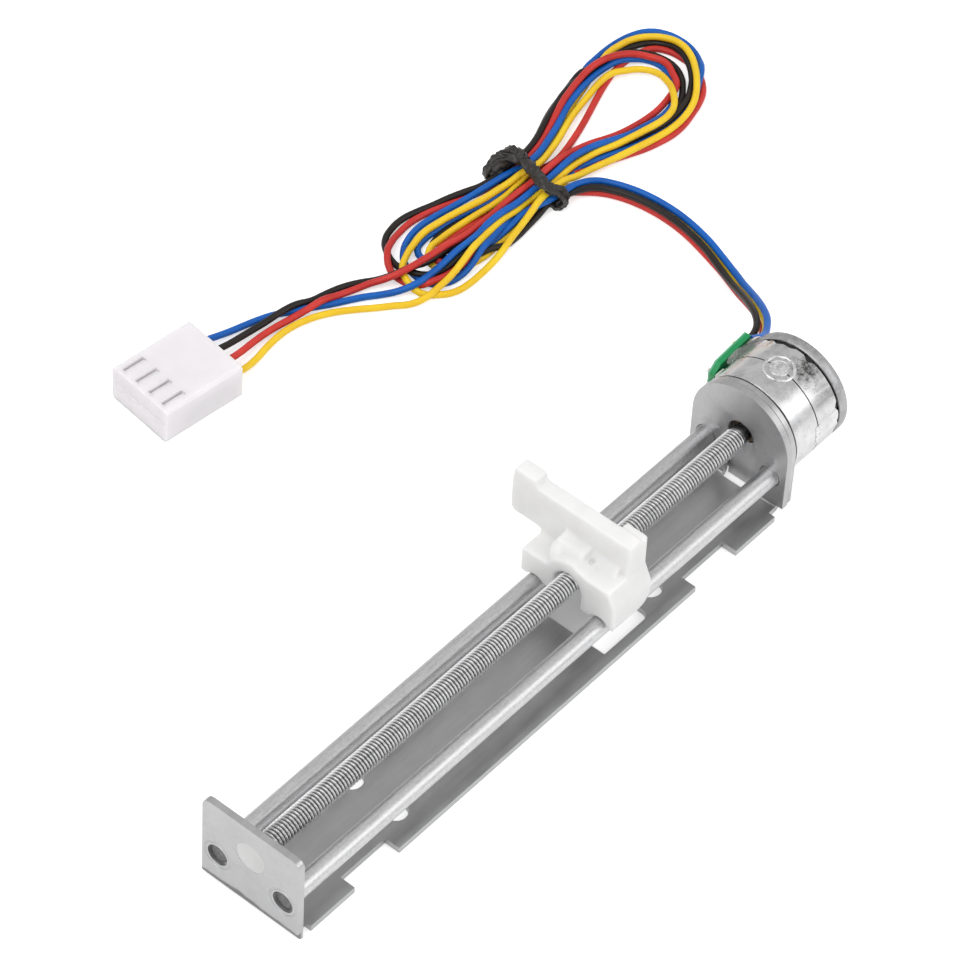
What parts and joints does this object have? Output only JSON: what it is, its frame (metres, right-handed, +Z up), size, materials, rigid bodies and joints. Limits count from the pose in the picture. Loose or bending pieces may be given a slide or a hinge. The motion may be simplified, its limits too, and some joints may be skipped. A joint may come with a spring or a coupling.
{
  "type": "stepper motor linear slide",
  "caption": "Small linear slide: a can stepper motor turns a fine lead screw, which drives a plastic carriage along two guide rods in a bent sheet bracket, with leads and a plug.",
  "frame": {"origin": "middle of the bracket's underside", "axes": "+X along the lead screw towards the motor, +Z up from the base, +Y towards the side with the drive arm and the wires"},
  "size_m": [0.1497, 0.0758, 0.0187],
  "materials": {
    "plated_steel": "satin",
    "polished_steel": "polished",
    "screw_steel": "satin",
    "can_steel": "satin",
    "pole_steel": "satin",
    "white_plastic": "satin",
    "plug_plastic": "satin",
    "bobbin_plastic": "satin",
    "hub_plastic": "satin",
    "copper": "enamelled wire",
    "magnet_grey": "matte",
    "bush_brass": "satin",
    "board_green": "lacquered",
    "pin_metal": "tinned",
    "contact_metal": "satin",
    "tie_black": "matte",
    "hank_mixed": "satin",
    "wire_blue": "satin",
    "wire_black": "satin",
    "wire_red": "satin",
    "wire_yellow": "satin"
  },
  "bodies": {
    "frame": {"bracket": "plated_steel", "guide_rod_left": "polished_steel", "guide_rod_right": "polished_steel", "end_bearing": "white_plastic", "motor_flange": "plated_steel", "stator_cup_front": "can_steel", "stator_cup_rear": "can_steel", "stator_ring_front": "pole_steel", "stator_ring_rear": "pole_steel", "bobbin_front": "bobbin_plastic", "bobbin_rear": "bobbin_plastic", "coil_front": "copper", "coil_rear": "copper", "motor_cap": "can_steel", "bush_front": "bush_brass", "bush_rear": "bush_brass", "terminal_board": "board_green", "terminal_pin_front_upper": "pin_metal", "terminal_pin_front_lower": "pin_metal", "terminal_pin_rear_upper": "pin_metal", "terminal_pin_rear_lower": "pin_metal", "wire_blue_lead": "wire_blue", "wire_black_lead": "wire_black", "wire_red_lead": "wire_red", "wire_yellow_lead": "wire_yellow", "wire_hank": "hank_mixed", "wire_tie": "tie_black", "wire_blue_tail": "wire_blue", "wire_black_tail": "wire_black", "wire_red_tail": "wire_red", "wire_yellow_tail": "wire_yellow", "plug_housing": "plug_plastic", "plug_contact_blue": "contact_metal", "plug_contact_black": "contact_metal", "plug_contact_red": "contact_metal", "plug_contact_yellow": "contact_metal"},
    "rotor": {"lead_screw": "screw_steel", "rotor_magnet": "magnet_grey", "rotor_hub": "hub_plastic"},
    "carriage_body": {"carriage": "white_plastic"}
  },
  "joints": [
    {"name": "screw_turn", "type": "hinge", "parent": "frame", "child": "rotor", "pos_m": [0, 0, 0.00949], "axis": [1, 0, 0], "range_deg": [-18020, 39620]},
    {"name": "carriage_slide", "type": "slide", "parent": "frame", "child": "carriage_body", "axis": [1, 0, 0], "range_m": [-0.055, 0.025]}
  ],
  "couplings": [
    {"joint": "screw_turn", "follows": "carriage_slide", "rad_per_m": -12566}
  ]
}
